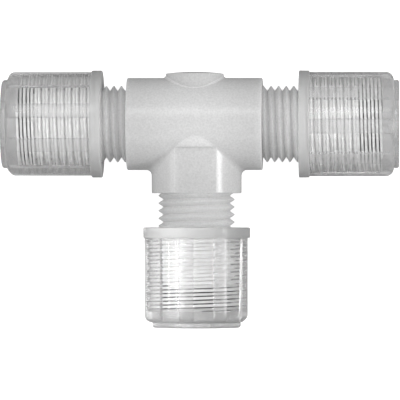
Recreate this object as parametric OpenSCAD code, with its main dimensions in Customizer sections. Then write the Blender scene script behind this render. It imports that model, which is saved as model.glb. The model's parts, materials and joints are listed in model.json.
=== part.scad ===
// Flareless compression union tee for quarter-inch tube, moulded in a clear fluoropolymer.
// It lies flat: the run is along X, the branch points to -Y, and three ribbed nuts rest on
// the plane z = 0. The origin is below the middle of the whole fitting.
// Every port is drawn in port coordinates: the port's axis is +Z and z = 0 is the point
// where the three axes cross. on_port() then turns and moves it to its place.

/* [Tee body] */
// Diameter of the barrel along the run
run_barrel_d = 17.2; // [16.6:0.1:18]
// Diameter of the barrel along the branch
branch_barrel_d = 16.8; // [16.2:0.1:17.2]
// Distance from the crossing of the axes to the left shoulder of the run barrel
left_barrel_reach = 12.95; // [11.5:0.05:13.5]
// Distance from the crossing of the axes to the right shoulder of the run barrel
right_barrel_reach = 12.3; // [11.5:0.05:13.5]
// Distance from the crossing of the axes to the branch shoulder
branch_barrel_reach = 12.95; // [11.5:0.1:13.5]
// Distance across the two wrench flats on the branch barrel
branch_flats = 15; // [14.6:0.1:16]
// Distance from the crossing of the axes to the step where those flats begin
branch_flats_from = 4.3; // [4.3:0.1:7]
// Distance from the crossing of the axes to the end of each threaded stub
stub_reach = 30.9; // [29.5:0.1:31.5]
// Chamfer on the outer corner of each barrel shoulder
shoulder_chamfer = 0.15; // [0.1:0.05:0.6]
// Diameter of the round pad opposite the branch
pad_d = 10.8; // [8:0.1:13]
// Distance from the branch's axis to the middle of the pad, towards the left port
pad_shift = 0.35; // [0:0.05:0.6]
// Height of the pad's edge above the run barrel
pad_edge_rise = 0.82; // [0.4:0.02:0.95]
// Extra height in the middle of the domed pad
pad_dome_rise = 0.33; // [0.1:0.01:0.4]

/* [Tube way] */
// Diameter of the pocket and ferrule bores that take the tube
tube_bore_d = 6.5; // [6.4:0.05:6.6]
// Diameter of the way through the tee
waterway_d = 4.4; // [3:0.1:5]
// Distance from the crossing of the axes to the bottom of each tube pocket
pocket_floor = 18.5; // [16:0.1:20]
// Depth of the sealing cone in the mouth of each stub
cone_depth = 3; // [2.6:0.1:3.4]
// Diameter of the sealing cone at the mouth
cone_mouth_d = 10; // [9.6:0.1:10.2]

/* [Thread] */
// Outside diameter of the stub's thread
thread_major_d = 14.28; // [14.1:0.02:14.4]
// Diameter at the root of the stub's thread
thread_root_d = 12.5; // [12.3:0.05:12.7]
// Number of threads in one inch
threads_per_inch = 18; // [18:1:18]
// Radial room between the nut's thread and the stub's thread
thread_room = 0.2; // [0.16:0.01:0.26]
// Flat sides in one turn of thread
thread_sides = 24; // [20:2:26]

/* [Nuts] */
// Length of a nut
nut_length = 18.7; // [18.4:0.1:19.2]
// Diameter of the flange round a nut's inner end
flange_d = 20; // [19.8:0.1:20.6]
// Thickness of that flange
flange_t = 1.95; // [1.2:0.05:2.4]
// Diameter over the grip ribs
rib_d = 19.46; // [19.2:0.02:19.6]
// Width of each grip rib
rib_w = 2.8; // [2:0.1:3.6]
// Number of grip ribs
rib_count = 9; // [6:1:12]
// Diameter of the wall between the ribs, next to the flange
wall_d = 18.7; // [18.3:0.05:19]
// How much narrower that wall is at the outer end
wall_draft = 0.3; // [0:0.05:0.5]
// Thickness of the nut's end wall
end_wall_t = 3; // [2.6:0.1:3.4]
// Diameter of the low cap on the end wall
cap_d = 16.5; // [14:0.1:16.6]
// Height of that cap
cap_h = 1; // [0.6:0.1:1.3]
// Radius of the rounded outer end of each rib
corner_r = 1.5; // [1:0.1:1.8]
// Distance from the crossing of the axes to the left nut's flange
left_nut_at = 17.6; // [17.5:0.1:18.5]
// Distance from the crossing of the axes to the right nut's flange
right_nut_at = 19.1; // [17.5:0.1:20]
// Distance from the crossing of the axes to the branch nut's flange
branch_nut_at = 19.3; // [17.5:0.1:20]

/* [Ferrules] */
// Length of the front ferrule's sealing cone
front_cone_l = 2.5; // [2.3:0.05:2.5]
// Thickness of the front ferrule's rim
front_rim_t = 0.5; // [0.4:0.05:0.6]
// Diameter of the front ferrule's rim
front_rim_d = 10.6; // [10.4:0.1:11]
// Thickness of the back ferrule
back_t = 0.7; // [0.6:0.05:0.8]
// Diameter of the back ferrule
back_d = 11.4; // [10.8:0.1:12]
// Diameter of the grip ring
grip_d = 11; // [10.6:0.1:11.4]
// Width of the gap in the split grip ring
grip_gap = 0.9; // [0.5:0.1:1.4]

/* [Hidden] */
$fn = 72;

// Colours of the clear body, the clearer nuts and the ferrules inside them
BODY_COLOUR = [0.86, 0.87, 0.88];
NUT_COLOUR = [0.92, 0.93, 0.94, 0.7];
FERRULE_COLOUR = [0.8, 0.82, 0.84];

// Each port: [turn about the crossing, nut's flange, rib's turn, thread's turn]
LEFT = [[0, -90, 0], left_nut_at, -25.3, 110];
RIGHT = [[0, 90, 0], right_nut_at, 183.2, 146];
BRANCH = [[90, 0, 0], branch_nut_at, 101.1, 8];

// Place of the crossing: the flanges rest on z = 0, and the whole fitting is centred
CROSSING = [(left_nut_at - right_nut_at) / 2,
            (branch_nut_at + nut_length - flange_d / 2) / 2,
            flange_d / 2];

// Small overlap that joins or clears neighbouring cuts
SKIN = 0.02;

pitch = 25.4 / threads_per_inch;
crest_flat = 0.12;
root_r = thread_root_d / 2;
crest_r = thread_major_d / 2;
bore_r = tube_bore_d / 2;
lead_in = 0.8;

// Slope of the sealing cone, in radius per length, and the front ferrule's nose
cone_slope = (cone_mouth_d / 2 - bore_r) / cone_depth;
nose_wall = 0.35;
nose_r = bore_r + nose_wall;

// Ramp to each wrench flat: where it starts from the crossing, and the step at its end
ramp_from = 1.6;
flat_step = 0.27;

// Where each threaded stub starts, inside its barrel
stub_from = 10;

// Nut: its rounded edges, the depth of its threaded hollow, and the cone in its end wall that
// closes the grip ring
cap_edge_r = 0.45;
flange_edge = 0.2;
ledge_min = 0.05;
rib_root = 0.3;
hollow_depth = nut_length - end_wall_t;
closing_cone_h = 1.5;
closing_cone_r = grip_d / 2 + 0.1;

// Grip ring: its straight part stands in the hollow, its cone in the end wall
grip_straight = 0.6;
grip_room = 0.1;
tooth_h = 0.06;

// Moves a shape from port coordinates to its port
module on_port(port) {
    translate(CROSSING) rotate(port[0]) children();
}

// --- Thread -----------------------------------------------------------------------------

// Outline of one turn: the root, then both edges of the crest, as [radius, height]
function turn_outline(grow) = [
    [root_r + grow, -pitch / 2],
    [crest_r + grow, -crest_flat / 2],
    [crest_r + grow, crest_flat / 2]];

// Threaded rod between two heights, right-handed. grow widens it into the room cut in a nut.
module thread_rod(from, to, grow = 0) {
    outline = turn_outline(grow);
    first = floor(from / pitch) - 1;
    turns = ceil(to / pitch) - first + 2;
    steps = turns * thread_sides;
    low = first * pitch;
    columns = len(outline);
    last_start = steps - thread_sides;
    rise = pitch / thread_sides;
    side_points = [
        for (i = [0:steps], p = outline)
            let (angle = 360 * i / thread_sides)
            [p[0] * cos(angle), p[0] * sin(angle), low + rise * i + p[1]]];
    low_hub = len(side_points);
    high_hub = low_hub + 1;
    hubs = [[0, 0, low], [0, 0, low + rise * steps - pitch / 2]];

    function at(i, column) = i * columns + column;
    function two(a, b, c, d) = [[a, c, b], [a, d, c]];

    flanks = [
        for (i = [0:steps - 1], column = [0:columns - 2])
            each two(at(i, column), at(i + 1, column), at(i + 1, column + 1), at(i, column + 1))];
    joins = [
        for (i = [0:last_start - 1])
            each two(at(i, columns - 1), at(i + 1, columns - 1),
                     at(i + 1 + thread_sides, 0), at(i + thread_sides, 0))];
    low_rim = concat([for (i = [0:thread_sides]) at(i, 0)],
                     [for (column = [columns - 1:-1:1]) at(0, column)]);
    high_rim = concat([for (i = [last_start:steps]) at(i, columns - 1)],
                      [for (column = [columns - 2:-1:0]) at(steps, column)]);
    low_cap = [for (k = [0:len(low_rim) - 1])
        [low_rim[k], low_rim[(k + 1) % len(low_rim)], low_hub]];
    high_cap = [for (k = [0:len(high_rim) - 1])
        [high_rim[(k + 1) % len(high_rim)], high_rim[k], high_hub]];
    intersection() {
        polyhedron(points = concat(side_points, hubs),
                   faces = concat(flanks, joins, low_cap, high_cap), convexity = 10);
        translate([0, 0, from]) cylinder(r = crest_r + 1, h = to - from);
    }
}

// --- Tee body ---------------------------------------------------------------------------

// Half of a barrel, from the crossing to its chamfered shoulder
module half_barrel(d, reach) {
    rotate_extrude() polygon([
        [0, 0], [d / 2, 0], [d / 2, reach - shoulder_chamfer],
        [d / 2 - shoulder_chamfer, reach], [0, reach]]);
}

// Barrel of the branch, with two wrench flats that face up and down as the fitting lies.
// A ramp that lies close to the run barrel leads down to each flat, with a low step at its end.
module branch_barrel() {
    flat_h = branch_flats / 2;
    end = branch_barrel_reach + 1;
    difference() {
        half_barrel(branch_barrel_d, branch_barrel_reach);
        for (side = [0, 180]) rotate([0, 0, side])
            rotate([90, 0, 90]) linear_extrude(branch_barrel_d, center = true) polygon([
                [run_barrel_d / 2, ramp_from], [flat_h + flat_step, branch_flats_from],
                [flat_h, branch_flats_from], [flat_h, end],
                [run_barrel_d, end], [run_barrel_d, ramp_from]]);
    }
}

// Threaded stub, with a lead-in chamfer on its end
module stub(turn) {
    intersection() {
        rotate([0, 0, turn]) thread_rod(stub_from, stub_reach);
        rotate_extrude() polygon([
            [0, 0], [crest_r + 1, 0], [crest_r + 1, stub_reach - lead_in - 1],
            [crest_r - lead_in, stub_reach], [0, stub_reach]]);
    }
}

// Round pad opposite the branch, with a slightly domed top
module pad() {
    edge = run_barrel_d / 2 + pad_edge_rise;
    dome_r = (pow(pad_d / 2, 2) + pow(pad_dome_rise, 2)) / (2 * pad_dome_rise);
    intersection() {
        cylinder(d = pad_d, h = edge + pad_dome_rise);
        translate([0, 0, edge + pad_dome_rise - dome_r]) sphere(r = dome_r, $fn = 144);
    }
}

// Way for the tube and the flow at one port
module port_way() {
    cylinder(d = waterway_d, h = pocket_floor + SKIN);
    translate([0, 0, pocket_floor]) cylinder(r = bore_r, h = stub_reach - pocket_floor);
    translate([0, 0, stub_reach - cone_depth])
        cylinder(r1 = bore_r, r2 = bore_r + cone_slope * (cone_depth + 1), h = cone_depth + 1);
}

module tee_body() {
    color(BODY_COLOUR) difference() {
        union() {
            on_port(LEFT) half_barrel(run_barrel_d, left_barrel_reach);
            on_port(RIGHT) half_barrel(run_barrel_d, right_barrel_reach);
            on_port(BRANCH) branch_barrel();
            translate(CROSSING - [pad_shift, 0, 0]) rotate([-90, 0, 0]) pad();
            for (port = [LEFT, RIGHT, BRANCH]) on_port(port) stub(port[3]);
        }
        for (port = [LEFT, RIGHT, BRANCH]) on_port(port) port_way();
    }
}

// --- Nuts -------------------------------------------------------------------------------

// Quarter round from [r, z] inwards and up, as points of an outline
function corner(r, z, size) = [
    for (a = [0:15:90]) [r - size + size * cos(a), z + size * sin(a)]];

// Round wall with its flange, its rounded outer corner and its low cap
module nut_wall() {
    ledge = nut_length - cap_h;
    end_r = (wall_d - wall_draft) / 2;
    end_corner = end_r - cap_d / 2 - ledge_min;
    rotate_extrude() polygon(concat(
        [[0, 0], [flange_d / 2 - flange_edge, 0], [flange_d / 2, flange_edge],
         [flange_d / 2, flange_t - flange_edge], [flange_d / 2 - flange_edge, flange_t],
         [wall_d / 2, flange_t]],
        corner(end_r, ledge - end_corner, end_corner),
        [[cap_d / 2, ledge]],
        corner(cap_d / 2, nut_length - cap_edge_r, cap_edge_r),
        [[0, nut_length]]));
}

// One grip rib, rounded over at the outer end
module rib() {
    top = nut_length - cap_h - 0.1;
    width = rib_w / rib_d * 360 / PI;
    inner = min(cap_d / 2, rib_d / 2 - corner_r) - rib_root;
    rotate([0, 0, -width / 2]) rotate_extrude(angle = width) polygon(concat(
        [[inner, flange_t / 2], [rib_d / 2, flange_t / 2]],
        corner(rib_d / 2, top - corner_r, corner_r),
        [[inner, top]]));
}

// Nut in port coordinates
module nut(port) {
    at = port[1];
    color(NUT_COLOUR) difference() {
        translate([0, 0, at]) union() {
            nut_wall();
            for (k = [0:rib_count - 1]) rotate([0, 0, port[2] + k * 360 / rib_count]) rib();
        }
        rotate([0, 0, port[3]]) thread_rod(at - 1, at + hollow_depth, thread_room);
        translate([0, 0, at - 1]) cylinder(r = bore_r, h = nut_length + 2);
        translate([0, 0, at - SKIN])
            cylinder(r1 = crest_r + thread_room + 0.3, r2 = root_r + thread_room, h = 1.2);
        translate([0, 0, at + hollow_depth - SKIN])
            cylinder(r1 = closing_cone_r, r2 = closing_cone_r - closing_cone_h, h = closing_cone_h);
    }
}

// --- Ferrules, each in port coordinates -------------------------------------------------

// Split ring that the nut's end cone closes on the tube, with two low teeth in its bore
module grip_ring(port) {
    seat = port[1] + hollow_depth;
    r = grip_d / 2;
    cone_h = closing_cone_h - 0.3;
    foot = seat - grip_straight;
    color(FERRULE_COLOUR) difference() {
        rotate_extrude() polygon([
            [bore_r, foot], [r, foot], [r, seat - grip_room],
            [r - cone_h, seat - grip_room + cone_h], [bore_r, seat - grip_room + cone_h],
            [bore_r, seat + 0.5], [bore_r - tooth_h, seat + 0.4], [bore_r, seat + 0.1],
            [bore_r, seat], [bore_r - tooth_h, seat - 0.1], [bore_r, seat - 0.4]]);
        translate([-grip_gap / 2, 0, foot - 1]) cube([grip_gap, r + 1, cone_h + 3]);
    }
}

// Flat ring between the grip ring and the sealing cone
module back_ferrule(port) {
    top = port[1] + hollow_depth - grip_straight;
    color(FERRULE_COLOUR) rotate_extrude() polygon([
        [bore_r, top - back_t], [back_d / 2 - 0.15, top - back_t],
        [back_d / 2, top - back_t + 0.15], [back_d / 2, top], [bore_r, top]]);
}

// Sealing cone that the nut presses into the mouth of the stub
module front_ferrule(port) {
    top = port[1] + hollow_depth - grip_straight - back_t;
    rim = top - front_rim_t;
    nose = rim - front_cone_l;
    color(FERRULE_COLOUR) rotate_extrude() polygon([
        [bore_r, nose], [nose_r, nose], [nose_r + cone_slope * front_cone_l, rim],
        [front_rim_d / 2, rim], [front_rim_d / 2, top], [bore_r, top]]);
}

tee_body();
on_port(LEFT) nut(LEFT);  // left_nut
on_port(LEFT) grip_ring(LEFT);  // left_grip_ring
on_port(LEFT) back_ferrule(LEFT);  // left_back_ferrule
on_port(LEFT) front_ferrule(LEFT);  // left_front_ferrule
on_port(RIGHT) nut(RIGHT);  // right_nut
on_port(RIGHT) grip_ring(RIGHT);  // right_grip_ring
on_port(RIGHT) back_ferrule(RIGHT);  // right_back_ferrule
on_port(RIGHT) front_ferrule(RIGHT);  // right_front_ferrule
on_port(BRANCH) nut(BRANCH);  // branch_nut
on_port(BRANCH) grip_ring(BRANCH);  // branch_grip_ring
on_port(BRANCH) back_ferrule(BRANCH);  // branch_back_ferrule
on_port(BRANCH) front_ferrule(BRANCH);  // branch_front_ferrule
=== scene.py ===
import json
import math

import bmesh
import bpy
import numpy as np
from mathutils import Matrix, Vector


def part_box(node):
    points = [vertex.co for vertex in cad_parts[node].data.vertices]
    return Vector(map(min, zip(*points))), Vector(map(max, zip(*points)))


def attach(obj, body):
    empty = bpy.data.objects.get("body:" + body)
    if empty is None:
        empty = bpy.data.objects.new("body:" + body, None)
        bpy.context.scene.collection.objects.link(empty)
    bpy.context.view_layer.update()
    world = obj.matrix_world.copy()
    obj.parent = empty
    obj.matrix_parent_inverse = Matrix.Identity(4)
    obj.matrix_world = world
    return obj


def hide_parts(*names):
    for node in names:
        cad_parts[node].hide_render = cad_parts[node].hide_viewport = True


# A compression union tee in clear fluoropolymer, lying flat on a white table.
# The run is along X, the branch points to -Y and +Z is up. The finer pieces are built in
# millimetres about the point where the three axes cross, and put in place at the end.

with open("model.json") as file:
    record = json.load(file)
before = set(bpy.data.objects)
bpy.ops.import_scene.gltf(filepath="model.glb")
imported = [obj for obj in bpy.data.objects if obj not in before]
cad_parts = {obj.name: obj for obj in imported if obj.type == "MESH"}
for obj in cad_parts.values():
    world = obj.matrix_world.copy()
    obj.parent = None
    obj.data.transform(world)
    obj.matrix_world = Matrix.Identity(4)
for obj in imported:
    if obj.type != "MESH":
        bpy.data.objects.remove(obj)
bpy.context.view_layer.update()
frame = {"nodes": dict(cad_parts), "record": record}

MM = 0.001
MOUNTS = {m["name"]: m for m in frame["record"]["mounts"]}
CROSSING = Vector((MOUNTS["tube_port_branch"]["pos_m"][0],
                   MOUNTS["tube_port_right"]["pos_m"][1],
                   MOUNTS["tube_port_right"]["pos_m"][2])) / MM

# --- Sizes, in millimetres ----------------------------------------------------------------

RUN_R = 8.6
LEFT_REACH = 12.95
RIGHT_REACH = 12.3
BRANCH_R = 8.4
BRANCH_REACH = 12.95
SHOULDER_CHAMFER = 0.15
BRANCH_FILLET = 1.0
FLAT_Z = 7.5
FLAT_FROM = 4.3
FLAT_STEP = 0.27
RAMP_FROM = 1.6
RAMP_SLOPE = (RUN_R - FLAT_Z - FLAT_STEP) / (FLAT_FROM - RAMP_FROM)
PAD_R = 5.4
PAD_SHIFT = 0.35
PAD_EDGE = 0.82
PAD_DOME = 0.33
PAD_FILLET = 0.6
PAD_CORNER = 0.12
# How far out from the pad's axis its fillet is painted brighter, over the shade in its crease
PAD_GLOW_R = PAD_R + 0.55 * PAD_FILLET
STUB_FROM = 10.0
STUB_REACH = 30.9

BORE_R = MOUNTS["tube_port_right"]["dims"]["r_mm"]
BORE_CHAMFER = 0.3
WATERWAY_R = 2.2
POCKET_FLOOR = 18.5
CONE_DEPTH = 3.0
CONE_MOUTH_R = 5.0
POCKET_EDGE = 0.3

PITCH = 25.4 / 18
THREAD_CREST_R = 7.14
THREAD_ROOT_R = 6.25
THREAD_ROOM = 0.2
THREAD_EASE = 0.05
STUB_FLATS = (0.12, 0.08)
NUT_FLATS = (0.3, 0.24)
LEAD_IN = 0.8
MOUTH_CHAMFER = 0.3

NUT_LENGTH = 18.7
FLANGE_R = 10.0
FLANGE_T = 1.95
FLANGE_CORNER = 0.15
WALL_FOOT = 0.25
RIB_R = 9.73
WALL_R = 9.35
WALL_END_R = 9.2
RIB_W = 2.8
RIB_COUNT = 9
RIB_SIDE = 0.3
RIB_CORNER = 1.45
WALL_CORNER = 1.0
CAP_R = 8.25
CAP_H = 1.0
CAP_CORNER = 0.45
END_WALL_T = 3.0
CLOSING_CONE_R = 5.6
CLOSING_CONE_H = 1.5

# How each port's own axis, +Z, is turned to its place, its rib's turn and its thread's turn
PORTS = {
    "left": (Matrix.Rotation(math.radians(-90), 4, "Y"), -25.3, 110),
    "right": (Matrix.Rotation(math.radians(90), 4, "Y"), 183.2, 146),
    "branch": (Matrix.Rotation(math.radians(90), 4, "X"), 99.9, 8),
}


def nut_place(port):
    """Distance from the crossing to a nut's flange, read from the frame."""
    low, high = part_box(f"{port}_nut")
    if port == "left":
        return CROSSING.x - high.x / MM
    if port == "right":
        return low.x / MM - CROSSING.x
    return CROSSING.y - high.y / MM


# --- Mesh helpers -------------------------------------------------------------------------

def new_object(name, points, faces):
    """Mesh object from points in millimetres."""
    mesh = bpy.data.meshes.new(name)
    mesh.from_pydata([tuple(p) for p in points], [], faces)
    mesh.update()
    obj = bpy.data.objects.new(name, mesh)
    bpy.context.scene.collection.objects.link(obj)
    return obj


def ring_faces(rows, columns, first=0):
    """Quads between rings of points that close on themselves."""
    return [(first + i * columns + j,
             first + i * columns + (j + 1) % columns,
             first + (i + 1) * columns + (j + 1) % columns,
             first + (i + 1) * columns + j)
            for i in range(rows - 1) for j in range(columns)]


def closed_loft(name, rings, low_pole, high_pole):
    """Closed solid through rings of points, with a pole at each end."""
    rows, columns = rings.shape[:2]
    points = np.vstack([rings.reshape(-1, 3), [low_pole, high_pole]])
    low, high = rows * columns, rows * columns + 1
    last = (rows - 1) * columns
    faces = ring_faces(rows, columns)
    faces += [(low, (j + 1) % columns, j) for j in range(columns)]
    faces += [(high, last + j, last + (j + 1) % columns) for j in range(columns)]
    return new_object(name, points, faces)


def revolve(name, outline, steps=128):
    """Closed solid of revolution about Z, from an outline of (radius, height)."""
    angles = np.arange(steps) * 2 * math.pi / steps
    rings = np.array([[(r * math.cos(a), r * math.sin(a), z) for a in angles]
                      for r, z in outline])
    return closed_loft(name, rings, (0, 0, outline[0][1]), (0, 0, outline[-1][1]))


def prism(name, outline, half_width):
    """Closed prism along X, from an outline of (y, z)."""
    count = len(outline)
    points = [(x, y, z) for x in (-half_width, half_width) for y, z in outline]
    faces = [tuple(range(count)), tuple(range(count, 2 * count))]
    faces += [(i, (i + 1) % count, count + (i + 1) % count, count + i) for i in range(count)]
    return weld(new_object(name, points, faces))


def arc(r, z, size, start, end, steps):
    """Points (radius, height) on a circle of this size about (r, z), angles in degrees."""
    return [(r + size * math.cos(math.radians(a)), z + size * math.sin(math.radians(a)))
            for a in np.linspace(start, end, steps)]


def cut_by(obj, tool, operation):
    """Adds the tool, takes it away or keeps what the two share, and drops the tool."""
    modifier = obj.modifiers.new(operation.lower(), "BOOLEAN")
    modifier.operation = operation
    modifier.solver = "MANIFOLD"
    modifier.object = tool
    graph = bpy.context.evaluated_depsgraph_get()
    result = bpy.data.meshes.new_from_object(obj.evaluated_get(graph))
    obj.modifiers.clear()
    obj.data = result
    bpy.data.objects.remove(tool)
    return obj


def weld(obj, distance=1e-4):
    """Joins points that lie together and turns every face outwards."""
    work = bmesh.new()
    work.from_mesh(obj.data)
    bmesh.ops.remove_doubles(work, verts=work.verts, dist=distance)
    bmesh.ops.recalc_face_normals(work, faces=work.faces)
    work.to_mesh(obj.data)
    work.free()
    return obj


def put(obj, matrix=None):
    """Turns a piece from port coordinates and moves it from the crossing to its place."""
    place = Matrix.Scale(MM, 4) @ Matrix.Translation(CROSSING)
    obj.data.transform(place @ (matrix or Matrix.Identity(4)))
    return obj


def smooth(obj, angle=32):
    """Smooth shading that stays sharp at edges bent by more than this angle."""
    obj.data.shade_smooth()
    obj.data.set_sharp_from_angle(angle=math.radians(angle))
    return obj


# --- Threads ------------------------------------------------------------------------------

def thread_rod(start, end, turn, grow=0.0, steps=96):
    """Right-handed threaded rod along Z with flat ends. grow widens it to cut a nut."""
    crest_flat, root_flat = NUT_FLATS if grow else STUB_FLATS
    crest, root = THREAD_CREST_R + grow, THREAD_ROOT_R + grow
    half = PITCH / 2
    outline = [
        (root, -half + root_flat / 2),
        (crest - THREAD_EASE, -crest_flat / 2 - THREAD_EASE),
        (crest, -crest_flat / 2 + THREAD_EASE / 2),
        (crest, crest_flat / 2 - THREAD_EASE / 2),
        (crest - THREAD_EASE, crest_flat / 2 + THREAD_EASE),
        (root, half - root_flat / 2),
    ]
    first = math.floor(start / PITCH) - 1
    turns = math.ceil(end / PITCH) - first + 2
    total = turns * steps
    columns = len(outline)
    points = []
    for i in range(total + 1):
        angle = 2 * math.pi * i / steps + math.radians(turn)
        for r, z in outline:
            height = PITCH * (first + i / steps) + z
            points.append((r * math.cos(angle), r * math.sin(angle), height))
    low_hub, high_hub = len(points), len(points) + 1
    points.append((0, 0, PITCH * first))
    points.append((0, 0, PITCH * (first + turns) - half))

    def at(i, column):
        return i * columns + column

    faces = [(at(i, c), at(i + 1, c), at(i + 1, c + 1), at(i, c + 1))
             for i in range(total) for c in range(columns - 1)]
    faces += [(at(i, columns - 1), at(i + 1, columns - 1),
               at(i + 1 + steps, 0), at(i + steps, 0)) for i in range(total - steps)]
    low_rim = [at(i, 0) for i in range(steps + 1)]
    low_rim += [at(0, c) for c in range(columns - 1, 0, -1)]
    high_rim = [at(i, columns - 1) for i in range(total - steps, total + 1)]
    high_rim += [at(total, c) for c in range(columns - 2, -1, -1)]
    faces += [(a, low_hub, b) for a, b in zip(low_rim, low_rim[1:] + low_rim[:1])]
    faces += [(a, b, high_hub) for a, b in zip(high_rim, high_rim[1:] + high_rim[:1])]
    rod = weld(new_object("rod", points, faces), 1e-6)
    tip = crest - LEAD_IN if grow == 0 else crest + 1
    shoulder = end - LEAD_IN - 1 if grow == 0 else end
    block = revolve("block", [(1, start), (crest + 1, start), (crest + 1, shoulder), (tip, end),
                              (1, end)])
    return cut_by(rod, block, "INTERSECT")


# --- Tee body -----------------------------------------------------------------------------

COLUMNS = 192


def column_angles():
    """Angle of each column round a boss that stands on the run barrel, from straight up."""
    return np.arange(COLUMNS) * 2 * math.pi / COLUMNS


def window_edge():
    """Edge of one half of the run barrel, unrolled: (place along the run, turn) per column."""
    side = COLUMNS // 4
    left, right = SHOULDER_CHAMFER - LEFT_REACH, RIGHT_REACH - SHOULDER_CHAMFER
    along = np.linspace(left, right, side + 1)
    around = np.linspace(math.pi / 2, -math.pi / 2, side + 1)
    top = [(x, math.pi / 2) for x in along]
    right_end = [(right, t) for t in around]
    bottom = [(x, -math.pi / 2) for x in along[::-1]]
    left_end = [(left, t) for t in around[::-1]]
    loop = top[side // 2:-1] + right_end[:-1] + bottom[:-1] + left_end[:-1] + top[:side // 2]
    return np.array(loop)


def boss_on_run(boss_r, fillet, side, shift, wall_rows, cap_rows):
    """Half of the run barrel with a round boss on it: its fillet, its wall and its end.

    side is -1 for the half towards the branch and 1 for the half towards the pad. shift
    moves the boss along the run, away from the branch's axis. wall_rows and cap_rows give
    (radius, distance from the run's axis) of the boss's rings.
    """
    angles = column_angles()
    around = np.stack([np.sin(angles), np.cos(angles)], 1)
    ball = RUN_R + fillet
    centre_x = (boss_r + fillet) * around[:, 0]
    centre_z = (boss_r + fillet) * around[:, 1]
    centre_y = np.sqrt(ball ** 2 - centre_z ** 2)
    centre = np.stack([centre_x, centre_y, centre_z], 1)
    to_boss = np.stack([around[:, 0], np.zeros(COLUMNS), around[:, 1]], 1)
    to_run = np.stack([np.zeros(COLUMNS), centre_y, centre_z], 1) / ball
    bend = np.arccos(np.clip((to_boss * to_run).sum(1), -1, 1))[:, None]

    # Barrel, from its edge to the fillet
    edge = window_edge()
    turn = np.arcsin(centre_z / ball)
    hole = np.stack([centre_x + shift, turn], 1)
    rings = []
    for t in np.linspace(0, 1, 15) ** 0.8:
        x, angle = (edge + (hole - edge) * t).T
        rings.append(np.stack([x, RUN_R * np.cos(angle), RUN_R * np.sin(angle)], 1))
    # Fillet
    for t in np.linspace(0, 1, 11)[1:]:
        direction = np.sin((1 - t) * bend) * to_run + np.sin(t * bend) * to_boss
        rings.append(centre + (shift, 0, 0) - fillet * (direction / np.sin(bend)))
    # Wall and end of the boss
    base = rings[-1][:, 1]
    first_r, first_y = wall_rows[0]
    for t in np.linspace(0, 1, 9)[1:]:
        y = base + (first_y - base) * t
        rings.append(np.stack([first_r * around[:, 0] + shift, y, first_r * around[:, 1]], 1))
    for r, y in wall_rows[1:] + cap_rows:
        rings.append(np.stack([r * around[:, 0] + shift, np.full(COLUMNS, y),
                               r * around[:, 1]], 1))
    rings = np.array(rings)
    rings[:, :, 1] *= side
    pole = len(rings) * COLUMNS
    points = np.vstack([rings.reshape(-1, 3), [(shift, side * cap_rows[-1][1], 0)]])
    last = pole - COLUMNS
    faces = ring_faces(len(rings), COLUMNS)
    faces += [(last + j, last + (j + 1) % COLUMNS, pole) for j in range(COLUMNS)]
    return points, faces


def shoulder(side, reach):
    """Chamfer and flat end of the run barrel, on the side -1 or 1."""
    half = COLUMNS // 4
    around = np.linspace(math.pi / 2, -math.pi / 2, half + 1)
    front = [(-math.cos(t), math.sin(t)) for t in around]
    back = [(math.cos(t), math.sin(t)) for t in around[::-1]]
    circle = np.array(front[:-1] + back[:-1])
    rows = [(RUN_R, reach - SHOULDER_CHAMFER), (RUN_R - SHOULDER_CHAMFER, reach),
            (RUN_R - 1.2, reach), (3.0, reach)]
    rings = np.array([[(side * x, r * y, r * z) for y, z in circle] for r, x in rows])
    count = len(circle)
    pole = len(rows) * count
    points = np.vstack([rings.reshape(-1, 3), [(side * reach, 0, 0)]])
    last = pole - count
    faces = ring_faces(len(rows), count)
    faces += [(last + j, last + (j + 1) % count, pole) for j in range(count)]
    return points, faces


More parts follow.
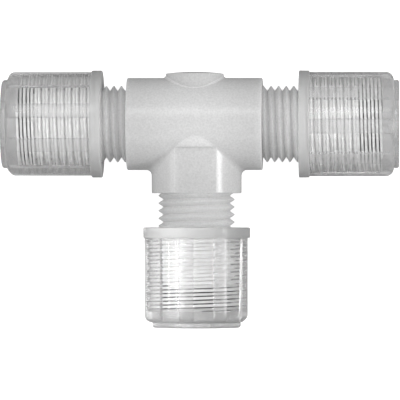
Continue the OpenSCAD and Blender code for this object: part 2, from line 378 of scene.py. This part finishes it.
def make_tee_body():
    """Crossed barrels blended by fillets, with the domed pad, the stubs and the bores."""
    branch_wall = [(BRANCH_R, BRANCH_REACH - SHOULDER_CHAMFER)]
    branch_end = [(BRANCH_R - SHOULDER_CHAMFER, BRANCH_REACH), (6.8, BRANCH_REACH),
                  (3.0, BRANCH_REACH)]
    top = RUN_R + PAD_EDGE
    dome_r = (PAD_R ** 2 + PAD_DOME ** 2) / (2 * PAD_DOME)
    pad_wall = [(PAD_R, top - PAD_CORNER),
                (PAD_R - 0.3 * PAD_CORNER, top - 0.3 * PAD_CORNER),
                (PAD_R - PAD_CORNER, top)]
    pad_end = [(r, top + PAD_DOME - dome_r + math.sqrt(dome_r ** 2 - r ** 2))
               for r in (5.0, 4.4, 3.6, 2.6, 1.4, 0.6)]
    parts = [
        boss_on_run(BRANCH_R, BRANCH_FILLET, -1, 0, branch_wall, branch_end),
        boss_on_run(PAD_R, PAD_FILLET, 1, -PAD_SHIFT, pad_wall, pad_end),
        shoulder(-1, LEFT_REACH),
        shoulder(1, RIGHT_REACH),
    ]
    points, faces = [], []
    for part_points, part_faces in parts:
        first = sum(len(p) for p in points)
        points.append(part_points)
        faces += [tuple(first + i for i in face) for face in part_faces]
    body = weld(new_object("tee_body_moulding", np.vstack(points), faces))
    for side in (-1, 1):
        outline = [(-RAMP_FROM, RUN_R), (-FLAT_FROM, FLAT_Z + FLAT_STEP), (-FLAT_FROM, FLAT_Z),
                   (-BRANCH_REACH - 1, FLAT_Z), (-BRANCH_REACH - 1, 10), (-RAMP_FROM, 10)]
        cut_by(body, prism("flat", [(y, side * z) for y, z in outline], 9), "DIFFERENCE")
    for matrix, _, turn in PORTS.values():
        rod = thread_rod(STUB_FROM, STUB_REACH, turn)
        rod.data.transform(matrix)
        cut_by(body, rod, "UNION")
    slope = (CONE_MOUTH_R - BORE_R) / CONE_DEPTH
    for port, (matrix, _, _) in PORTS.items():
        # The run's two bores overlap, so that no skin is left between them
        start = 0.0 if port == "branch" else -0.5
        way = revolve("way", [
            (WATERWAY_R, start), (WATERWAY_R, POCKET_FLOOR),
            (BORE_R, POCKET_FLOOR + POCKET_EDGE), (BORE_R, STUB_REACH - CONE_DEPTH),
            (CONE_MOUTH_R + slope, STUB_REACH + 1)])
        way.data.transform(matrix)
        cut_by(body, way, "DIFFERENCE")
    return body


# --- Nuts ---------------------------------------------------------------------------------

def nut_rows():
    """Rings of a nut as (wall radius, wall height, rib radius, rib height)."""
    ledge = NUT_LENGTH - CAP_H
    plain = [(r, 0.0) for r in (3.0, 6.0, 8.5)]
    edge = FLANGE_R - FLANGE_CORNER
    plain += arc(edge, FLANGE_CORNER, FLANGE_CORNER, -90, 0, 4)
    plain += arc(edge, FLANGE_T - FLANGE_CORNER, FLANGE_CORNER, 0, 90, 4)
    rows = [(r, z, r, z) for r, z in plain]
    for a in np.linspace(90, 180, 5):
        dr, dz = WALL_FOOT * math.cos(math.radians(a)), WALL_FOOT * math.sin(math.radians(a))
        rows.append((WALL_R + WALL_FOOT + dr, FLANGE_T + WALL_FOOT - dz,
                     RIB_R + 0.1 + dr * 0.4, FLANGE_T + 0.1 - dz * 0.4))
    rib_top, wall_top = ledge - RIB_CORNER, ledge - WALL_CORNER
    low = FLANGE_T + WALL_FOOT
    for t in np.linspace(0, 1, 13)[1:]:
        rows.append((WALL_R + (WALL_END_R - WALL_R) * t, low + (wall_top - low) * t,
                     RIB_R, low + (rib_top - low) * t))
    for a in np.linspace(0, 90, 19)[1:]:
        c, s = math.cos(math.radians(a)), math.sin(math.radians(a))
        rows.append((WALL_END_R - WALL_CORNER * (1 - c), wall_top + WALL_CORNER * s,
                     RIB_R - RIB_CORNER * (1 - c), rib_top + RIB_CORNER * s))
    cap = [(CAP_R - 0.12, ledge + 0.04), (CAP_R, ledge + 0.12)]
    cap += arc(CAP_R - CAP_CORNER, NUT_LENGTH - CAP_CORNER, CAP_CORNER, 0, 90, 7)
    cap += [(r, NUT_LENGTH) for r in (6.5, 4.0, 2.0)]
    return rows + [(r, z, r, z) for r, z in cap]


def rib_angles(turn):
    """Angles of the columns round a nut, close together on the ribs' sides, in degrees."""
    half = math.degrees(RIB_W / 2 / RIB_R)
    side = np.linspace(-1.3, 1.3, 7)
    top = np.linspace(-half + 1.7, half - 1.7, 13)
    period = 360 / RIB_COUNT
    gap = np.linspace(half + 1.9, period - half - 1.9, 9)
    one = np.concatenate([side - half, top, side + half, gap])
    return np.concatenate([one + turn + k * period for k in range(RIB_COUNT)])


def make_nut(port):
    """Ribbed nut with rounded rib ends, cut by its thread, its closing cone and its bore."""
    matrix, turn, thread_turn = PORTS[port]
    at = nut_place(port)
    period = 360 / RIB_COUNT
    angles = rib_angles(turn)
    off = (angles - turn + period / 2) % period - period / 2
    rows = np.array(nut_rows())
    half = RIB_W / 2
    tip = NUT_LENGTH - CAP_H + 0.1
    across = np.abs(np.radians(off))[None, :] * RIB_R
    past = np.maximum(rows[:, 3][:, None] - (tip - half), 0)
    inside = half + RIB_SIDE / 2 - np.hypot(across, past)
    share = np.clip(inside / RIB_SIDE, 0, 1)
    share = share * share * (3 - 2 * share)
    r = rows[:, 0][:, None] * (1 - share) + rows[:, 2][:, None] * share
    z = rows[:, 1][:, None] * (1 - share) + rows[:, 3][:, None] * share
    a = np.radians(angles)[None, :]
    rings = np.stack([r * np.cos(a), r * np.sin(a), z + at], 2)
    nut = closed_loft(f"{port}_nut_moulding", rings, (0, 0, at), (0, 0, at + NUT_LENGTH))
    hollow = at + NUT_LENGTH - END_WALL_T
    cut_by(nut, thread_rod(at - 1, hollow, thread_turn, THREAD_ROOM), "DIFFERENCE")
    mouth_r = THREAD_CREST_R + THREAD_ROOM + MOUTH_CHAMFER
    cut_by(nut, revolve("mouth", [(mouth_r + 0.3, at - 0.3), (mouth_r - 1.2, at + 1.2)]),
           "DIFFERENCE")
    cut_by(nut, revolve("cone", [
        (CLOSING_CONE_R, hollow - 0.01),
        (CLOSING_CONE_R - CLOSING_CONE_H, hollow + CLOSING_CONE_H),
        (BORE_R, hollow + CLOSING_CONE_H), (BORE_R, at + NUT_LENGTH - BORE_CHAMFER),
        (BORE_R + (BORE_CHAMFER + 0.2), at + NUT_LENGTH + 0.2)]), "DIFFERENCE")
    return nut


# --- Materials ----------------------------------------------------------------------------

PLASTIC_IOR = 1.35
SCATTER = 0.004
SKIN_DEPTH = 0.00005
SKIN_GRAIN = 2600
MOTTLE_GRAIN = 3000
GLOSS_GRAIN = 900
GLOSS_SPREAD = 0.15
# Painted glow of the milky body: its tone at the crossing, and the distance in millimetres at
# which it has faded to the thin tone
CROSSING_GLOW_TONE = 0.82
GLOW_FADE_AT = 19
# The colour sockets of a Mix node
MIX_A, MIX_B, MIX_RESULT = 6, 7, 2


def new_material(name):
    """Material with its node tree and its shader."""
    material = bpy.data.materials.new(name)
    material.use_nodes = True
    tree = material.node_tree
    shader = tree.nodes["Principled BSDF"]
    return material, tree, shader


def noise(tree, scale, detail=3.0):
    """Noise in the piece's own coordinates, so that it stays put when the piece moves."""
    place = tree.nodes.new("ShaderNodeTexCoord")
    texture = tree.nodes.new("ShaderNodeTexNoise")
    texture.inputs["Scale"].default_value = scale
    texture.inputs["Detail"].default_value = detail
    tree.links.new(place.outputs["Object"], texture.inputs["Vector"])
    return texture.outputs["Fac"]


def spread(tree, value, low, high):
    """Maps a value between 0 and 1 to a range from low to high."""
    node = tree.nodes.new("ShaderNodeMapRange")
    node.inputs["To Min"].default_value = low
    node.inputs["To Max"].default_value = high
    tree.links.new(value, node.inputs["Value"])
    return node.outputs["Result"]


def grey_spread(tree, value, low, high):
    """Grey between low and high."""
    node = tree.nodes.new("ShaderNodeMix")
    node.data_type = "RGBA"
    node.inputs[MIX_A].default_value = (low, low, low, 1)
    node.inputs[MIX_B].default_value = (high, high, high, 1)
    tree.links.new(value, node.inputs[0])
    return node.outputs[MIX_RESULT]


def crossing_glow_tone(tree, thick, thin, reach):
    """Painted glow: a tone that falls from thick at the crossing to thin at this distance, in
    millimetres.
    """
    place = tree.nodes.new("ShaderNodeTexCoord")
    away = tree.nodes.new("ShaderNodeVectorMath")
    away.operation = "DISTANCE"
    away.inputs[1].default_value = CROSSING * MM
    fall = tree.nodes.new("ShaderNodeMapRange")
    fall.interpolation_type = "SMOOTHSTEP"
    fall.inputs["From Max"].default_value = reach * MM
    fall.inputs["To Min"].default_value = thick
    fall.inputs["To Max"].default_value = thin
    tree.links.new(place.outputs["Object"], away.inputs[0])
    tree.links.new(away.outputs["Value"], fall.inputs["Value"])
    return fall.outputs["Result"]


def tinted(tree, colour, tone):
    """Colour times a tone."""
    node = tree.nodes.new("ShaderNodeMix")
    node.data_type = "RGBA"
    node.blend_type = "MULTIPLY"
    node.inputs[0].default_value = 1
    tree.links.new(colour, node.inputs[MIX_A])
    tree.links.new(tone, node.inputs[MIX_B])
    return node.outputs[MIX_RESULT]


def moulded_plastic(name, tone, milk, clear, rough, bump, shine=1.0, mottle=0.03):
    """Fluoropolymer with a moulded skin.

    tone is its grey, milk the share that scatters inside, clear the share that passes light,
    rough and bump its skin, shine the strength of its reflections and mottle the unevenness
    of its tone.
    """
    material, tree, shader = new_material(name)
    shader.inputs["IOR"].default_value = PLASTIC_IOR
    shader.inputs["Subsurface Weight"].default_value = milk
    shader.inputs["Subsurface Radius"].default_value = (1, 1, 1)
    shader.inputs["Subsurface Scale"].default_value = SCATTER
    shader.inputs["Transmission Weight"].default_value = clear
    shader.inputs["Specular Tint"].default_value = (shine, shine, shine, 1)
    cloud = noise(tree, MOTTLE_GRAIN, 2.0)
    tree.links.new(grey_spread(tree, cloud, tone - mottle, tone + mottle),
                   shader.inputs["Base Color"])
    gloss = spread(tree, noise(tree, GLOSS_GRAIN),
                   rough * (1 - GLOSS_SPREAD), rough * (1 + GLOSS_SPREAD))
    tree.links.new(gloss, shader.inputs["Roughness"])
    skin = tree.nodes.new("ShaderNodeBump")
    skin.inputs["Strength"].default_value = bump
    skin.inputs["Distance"].default_value = SKIN_DEPTH
    tree.links.new(noise(tree, SKIN_GRAIN), skin.inputs["Height"])
    tree.links.new(skin.outputs["Normal"], shader.inputs["Normal"])
    return material


def let_lamps_through(material, share):
    """Part of the light from lamps passes straight through, as it does through thin plastic."""
    tree = material.node_tree
    shader = tree.nodes["Principled BSDF"]
    output = tree.nodes["Material Output"]
    path = tree.nodes.new("ShaderNodeLightPath")
    open_way = tree.nodes.new("ShaderNodeBsdfTransparent")
    open_way.inputs["Color"].default_value = (share, share, share, 1)
    mix = tree.nodes.new("ShaderNodeMixShader")
    tree.links.new(path.outputs["Is Shadow Ray"], mix.inputs["Fac"])
    tree.links.new(shader.outputs["BSDF"], mix.inputs[1])
    tree.links.new(open_way.outputs["BSDF"], mix.inputs[2])
    tree.links.new(mix.outputs["Shader"], output.inputs["Surface"])
    return material


def milky_plastic(name, tone, rough, bump, milk=0.75, blur=SCATTER, thin=0.6):
    """Body plastic with a painted glow, paler at the crossing, where the milky moulding is
    thickest.

    blur is how far light spreads inside it and thin the tone out at the stubs.
    """
    material = moulded_plastic(name, tone, milk, 0.0, rough, bump, mottle=0.16)
    tree = material.node_tree
    shader = tree.nodes["Principled BSDF"]
    shader.inputs["Subsurface Scale"].default_value = blur
    colour = shader.inputs["Base Color"]
    # Painted glow: the tone fades from the crossing outwards
    fade = crossing_glow_tone(tree, CROSSING_GLOW_TONE, thin, GLOW_FADE_AT)
    tree.links.new(tinted(tree, colour.links[0].from_socket, fade), colour)
    return material


def thin_plastic(name, tone, clear, rough, bump, lamps, shine=1.0):
    """Clear plastic of a nut. lamps is the share of lamp light that it lets through."""
    return let_lamps_through(moulded_plastic(name, tone, 0.0, clear, rough, bump, shine), lamps)


BODY_PLASTIC = milky_plastic("milky_fluoropolymer", tone=0.92, rough=0.22, bump=0.6)
# The pad's darker tone is painted shade, damping the lamps' light on the raised pad; its matte
# skin is real
SHADED_PAD_PLASTIC = milky_plastic("matte_shaded_pad_fluoropolymer", tone=0.78, rough=0.6, bump=0.9)
STUB_PLASTIC = milky_plastic("thread_stub_fluoropolymer", tone=0.92, rough=0.35, bump=0.9,
                             milk=0.85, blur=0.02, thin=0.72)
# The wrench flats are a shade darker than the body: painted shade; their rougher skin is real
SHADED_FLAT_PLASTIC = milky_plastic("shaded_wrench_flat_fluoropolymer", tone=0.89, rough=0.24, bump=0.9)
# The ramps and the inner part of the pad's fillet are painted brighter: a painted glow on the
# ramps and painted light over the shade in the fillet's crease
PAINTED_GLOW_PLASTIC = milky_plastic("painted_glow_fluoropolymer", tone=0.98, rough=0.2, bump=0.6,
                             thin=0.64)
WINDOW_PLASTIC = thin_plastic("clear_fluoropolymer", tone=0.9, clear=0.93, rough=0.06,
                              bump=0.02, lamps=0.88, shine=0.5)
RIB_PLASTIC = thin_plastic("frosted_fluoropolymer", tone=0.73, clear=0.72, rough=0.2,
                           bump=0.04, lamps=0.78, shine=0.8)
# The thread's pale, half diffuse flanks are a painted reflection of the light that the flanks
# throw back inside the clear wall
FLANK_REFLECTION_PLASTIC = thin_plastic("painted_reflection_flank_fluoropolymer", tone=0.95, clear=0.5, rough=0.12,
                             bump=0.05, lamps=0.55)
GAP_PLASTIC = thin_plastic("thread_gap_fluoropolymer", tone=0.8, clear=1.0, rough=0.08,
                           bump=0.02, lamps=0.8)
# The thread's gaps past the stub's end are tinted almost black: painted shade
SHADED_GAP_PLASTIC = thin_plastic("shaded_thread_gap_fluoropolymer", tone=0.04, clear=1.0,
                                rough=0.08, bump=0.02, lamps=0.8)
FLANGE_PLASTIC = thin_plastic("flange_fluoropolymer", tone=0.62, clear=0.45, rough=0.25,
                              bump=0.04, lamps=0.72, shine=0.35)
# The grip rings and ferrules take a dark grey: painted shade inside the nuts
SHADED_FERRULE_PLASTIC = moulded_plastic("shaded_ferrule_fluoropolymer", tone=0.22, milk=0.0, clear=0.2,
                                  rough=0.2, bump=0.1)

# The place of each plastic in its piece's list
BODY_PLASTICS = (BODY_PLASTIC, SHADED_PAD_PLASTIC, STUB_PLASTIC, SHADED_FLAT_PLASTIC, PAINTED_GLOW_PLASTIC)
BODY, PAD, STUB, FLAT, RAMP = range(len(BODY_PLASTICS))
NUT_PLASTICS = (WINDOW_PLASTIC, RIB_PLASTIC, FLANK_REFLECTION_PLASTIC, GAP_PLASTIC, SHADED_GAP_PLASTIC,
                FLANGE_PLASTIC)
WINDOW, RIB, FLANK, GAP, DARK_GAP, FLANGE = range(len(NUT_PLASTICS))

# How far a face may lie from the surface that it belongs to, in millimetres
TOUCH = 0.01


def body_plastic_at(face):
    """Which plastic a face of the tee body has, from where it lies."""
    x, y, z = face.center
    from_pad = math.hypot(x + PAD_SHIFT, z)
    from_run = math.hypot(y, z)
    # The pad's top: painted shade
    if y > 0 and from_pad < PAD_R + 2 * TOUCH and from_run > RUN_R:
        return PAD
    # Inner part of the pad's fillet: painted light over the shade in its crease
    if y > 0 and from_pad < PAD_GLOW_R and from_run > RUN_R + TOUCH:
        return RAMP
    if x < -LEFT_REACH - TOUCH or x > RIGHT_REACH + TOUCH or y < -BRANCH_REACH - TOUCH:
        return STUB
    # The wrench flats: painted shade
    if y < -FLAT_FROM and abs(abs(z) - FLAT_Z) < 2 * TOUCH and abs(face.normal.z) > 0.99:
        return FLAT
    # The ramps down to the flats: painted glow
    off_ramp = abs(abs(z) - RUN_R - RAMP_SLOPE * (y + RAMP_FROM))
    return RAMP if -FLAT_FROM < y < -RAMP_FROM and off_ramp < TOUCH else BODY


def finish_body(body):
    """Glossy moulding, matte on the pad and the wrench flats and softer on the stubs; the pad
    and the flats have painted shade in their darker tones.

    The pad's rim and the ramps down to the flats are a shade brighter: painted light, a glow on
    the ramps and a lift over the shade in the rim's crease.
    """
    body.data.materials.clear()
    for material in BODY_PLASTICS:
        body.data.materials.append(material)
    for face in body.data.polygons:
        face.material_index = body_plastic_at(face)


def finish_nut(nut, port):
    """Clear where the wall is smooth, frosted on the ribs and the end, dimmer on the flange.

    Inside, the thread has pale flanks, a painted reflection, and clear gaps, which are dark
    past the stub's end, where their darkness is painted shade.
    """
    nut.data.materials.clear()
    for material in NUT_PLASTICS:
        nut.data.materials.append(material)
    count = len(nut.data.polygons)
    centres = np.zeros(count * 3)
    normals = np.zeros(count * 3)
    nut.data.polygons.foreach_get("center", centres)
    nut.data.polygons.foreach_get("normal", normals)
    centres, normals = centres.reshape(-1, 3), normals.reshape(-1, 3)
    radius = np.hypot(centres[:, 0], centres[:, 1])
    height = centres[:, 2] - nut_place(port)
    outer = radius > THREAD_CREST_R + THREAD_ROOM + 0.3
    end = height > NUT_LENGTH - END_WALL_T - 0.15
    flange = outer & (height < FLANGE_T + 0.05)
    frosted = end | flange | (outer & (radius > WALL_R + 0.06))
    inner = ~frosted & ~outer
    # Flanks: painted reflection
    flank = inner & (np.abs(normals[:, 2]) > 0.3)
    gap = inner & ~flank
    plastic = np.full(count, WINDOW, np.int32)
    plastic[frosted] = RIB
    plastic[flank] = FLANK
    plastic[gap] = GAP
    # Gaps past the stub's end: painted shade
    plastic[gap & (centres[:, 2] > STUB_REACH - LEAD_IN)] = DARK_GAP
    plastic[flange] = FLANGE
    nut.data.polygons.foreach_set("material_index", plastic)


# --- Pieces -------------------------------------------------------------------------------

body = make_tee_body()
finish_body(body)
smooth(put(body))
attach(body, "tee")
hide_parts("tee_body")

for port in PORTS:
    nut = make_nut(port)
    finish_nut(nut, port)
    smooth(put(nut, PORTS[port][0]))
    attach(nut, f"{port}_nut")
    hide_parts(f"{port}_nut")
    # Grip rings and ferrules: painted shade
    for ring in ("grip_ring", "back_ferrule", "front_ferrule"):
        node = frame["nodes"][f"{port}_{ring}"]
        node.data.materials.clear()
        node.data.materials.append(SHADED_FERRULE_PLASTIC)

# --- Table, light and camera --------------------------------------------------------------

TABLE_HALF = 2
TABLE_GLOW = 0.8
LOOK_AT = Vector((-0.12, -0.18, 10.0)) * MM
CAMERA_DISTANCE = 1.05
CAMERA_LEAN = math.radians(2)
SENSOR_WIDTH = 36
VIEW_WIDTH = 0.07464

# Each lamp's azimuth (0 is +X and 90 is +Y) and elevation in degrees, its distance, width
# and height in metres, and its power in watts
LAMPS = {
    "far_strip": (90, 58, 0.8, 0.5, 0.2, 1.5),
    "near_strip": (-90, 58, 0.8, 0.5, 0.06, 0.42),
    "right_strip": (0, 28, 0.6, 0.22, 0.07, 1.9),
    "left_strip": (180, 25, 0.6, 0.2, 0.04, 0.35),
    "left_soft": (180, 50, 0.7, 0.25, 0.2, 1.5),
    "branch_fill": (185, 36, 0.6, 0.4, 0.4, 2.0),
    "branch_rim": (0, 22, 0.6, 0.22, 0.03, 1.0),
}
# The lamps that light the branch nut alone, or everything but that nut
BRANCH_NUT_LINKS = {"branch_fill": "INCLUDE", "branch_rim": "INCLUDE", "right_strip": "EXCLUDE"}


def lay_table():
    """Plain white table. It glows evenly and lights nothing, as a backdrop does."""
    mesh = bpy.data.meshes.new("table")
    corners = [(-TABLE_HALF, -TABLE_HALF, 0), (TABLE_HALF, -TABLE_HALF, 0),
               (TABLE_HALF, TABLE_HALF, 0), (-TABLE_HALF, TABLE_HALF, 0)]
    mesh.from_pydata(corners, [], [(0, 1, 2, 3)])
    table = bpy.data.objects.new("table", mesh)
    bpy.context.scene.collection.objects.link(table)
    material, _, shader = new_material("white_table")
    shader.inputs["Base Color"].default_value = (0.7, 0.7, 0.7, 1)
    shader.inputs["Roughness"].default_value = 0.9
    shader.inputs["Emission Color"].default_value = (1, 1, 1, 1)
    shader.inputs["Emission Strength"].default_value = TABLE_GLOW
    mesh.materials.append(material)
    for kind in ("diffuse", "glossy", "transmission", "volume_scatter"):
        setattr(table, f"visible_{kind}", False)
    return table


def studio_light(zenith, horizon, below):
    """Grey surroundings, brighter above than at the sides and below."""
    world = bpy.data.worlds.new("studio")
    world.use_nodes = True
    tree = world.node_tree
    place = tree.nodes.new("ShaderNodeTexCoord")
    split = tree.nodes.new("ShaderNodeSeparateXYZ")
    ramp = tree.nodes.new("ShaderNodeValToRGB")
    half = tree.nodes.new("ShaderNodeMapRange")
    half.inputs["From Min"].default_value = -1
    ramp.color_ramp.elements[0].color = (below, below, below, 1)
    ramp.color_ramp.elements[1].color = (zenith, zenith, zenith, 1)
    middle = ramp.color_ramp.elements.new(0.5)
    middle.color = (horizon, horizon, horizon, 1)
    tree.links.new(place.outputs["Generated"], split.inputs["Vector"])
    tree.links.new(split.outputs["Z"], half.inputs["Value"])
    tree.links.new(half.outputs["Result"], ramp.inputs["Fac"])
    tree.links.new(ramp.outputs["Color"], tree.nodes["Background"].inputs["Color"])
    bpy.context.scene.world = world


def soft_light(name, azimuth, elevation, distance, width, height, power):
    """Rectangular lamp aimed at the fitting."""
    data = bpy.data.lights.new(name, "AREA")
    data.shape = "RECTANGLE"
    data.size, data.size_y = width, height
    data.energy = power
    lamp = bpy.data.objects.new(name, data)
    bpy.context.scene.collection.objects.link(lamp)
    a, e = math.radians(azimuth), math.radians(elevation)
    away = Vector((math.cos(a) * math.cos(e), math.sin(a) * math.cos(e), math.sin(e)))
    lamp.location = LOOK_AT + away * distance
    lamp.rotation_euler = away.to_track_quat("Z", "Y").to_euler()
    return lamp


def link_light(lamp, piece, state):
    """Lets a lamp light one piece alone, or everything but that piece."""
    lit = bpy.data.collections.new(f"{lamp.name}_link")
    lit.objects.link(piece)
    lit.collection_objects[0].light_linking.link_state = state
    lamp.light_linking.receiver_collection = lit


def set_camera():
    """Long lens from above, leaning a little to the right."""
    data = bpy.data.cameras.new("camera")
    data.sensor_width = SENSOR_WIDTH
    data.lens = data.sensor_width * CAMERA_DISTANCE / VIEW_WIDTH
    data.clip_start = 0.01
    data.clip_end = 20
    camera = bpy.data.objects.new("camera", data)
    bpy.context.scene.collection.objects.link(camera)
    away = Vector((math.sin(CAMERA_LEAN), 0, math.cos(CAMERA_LEAN)))
    camera.location = LOOK_AT + away * CAMERA_DISTANCE
    camera.rotation_euler = (0, CAMERA_LEAN, 0)
    bpy.context.scene.camera = camera
    bpy.context.scene.view_settings.view_transform = "Standard"


lay_table()
studio_light(zenith=0.38, horizon=0.31, below=0.33)
for lamp_name, numbers in LAMPS.items():
    lamp = soft_light(lamp_name, *numbers)
    if lamp_name in BRANCH_NUT_LINKS:
        link_light(lamp, bpy.data.objects["branch_nut_moulding"], BRANCH_NUT_LINKS[lamp_name])
set_camera()
